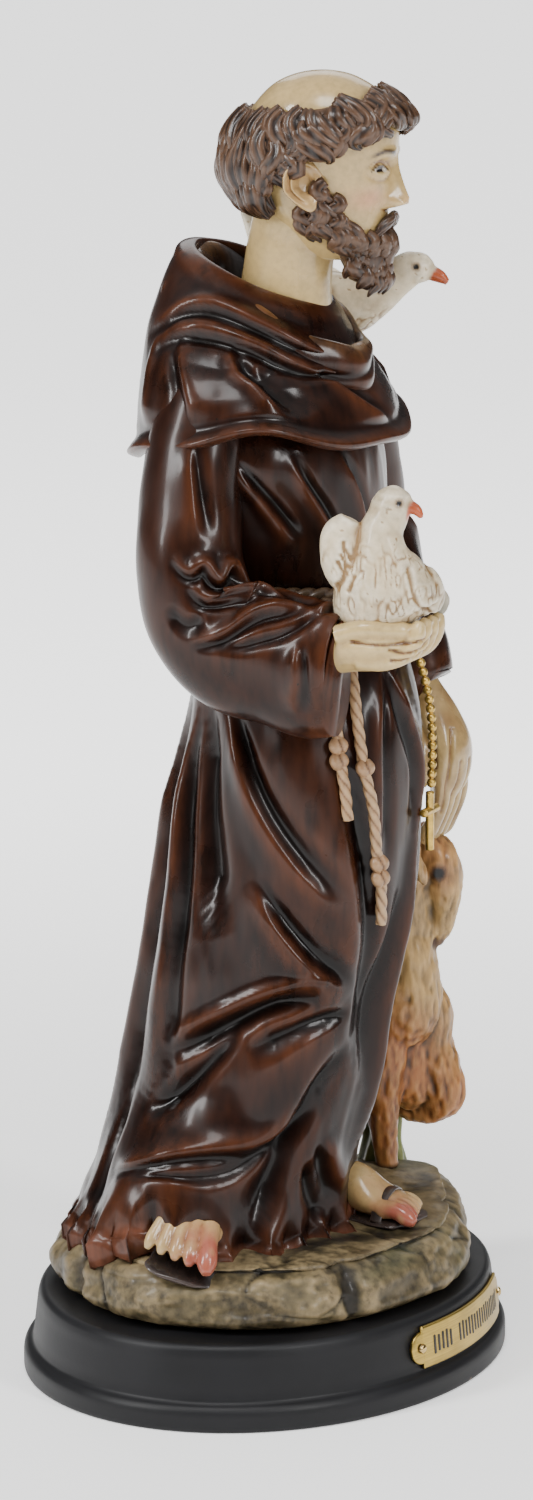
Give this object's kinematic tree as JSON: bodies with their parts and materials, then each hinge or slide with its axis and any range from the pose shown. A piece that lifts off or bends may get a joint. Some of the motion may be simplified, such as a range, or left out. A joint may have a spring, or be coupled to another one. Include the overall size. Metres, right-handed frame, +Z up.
{
  "type": "friar figurine",
  "caption": "Painted cast-resin figurine of a bearded friar with two doves and a fawn, on an oval black wooden plinth with a brass plate",
  "frame": {"origin": "middle of the plinth's underside, on the floor", "axes": "+Z up; the friar faces -Y, so the friar's right hand is at -X"},
  "size_m": [0.1402, 0.1124, 0.3099],
  "materials": {
    "painted_resin": "cast resin painted in gloss: dark brown habit, cream skin, white doves, tan fawn, olive rock",
    "black_wood": "turned wood in satin black lacquer",
    "plate_brass": "thin brushed brass with shallow dark strokes",
    "pin_brass": "small dome-headed brass pins"
  },
  "bodies": {
    "root": {"figure": "painted_resin", "plinth": "black_wood", "name_plate": "plate_brass", "plate_pin_left": "pin_brass", "plate_pin_right": "pin_brass"}
  },
  "joints": []
}
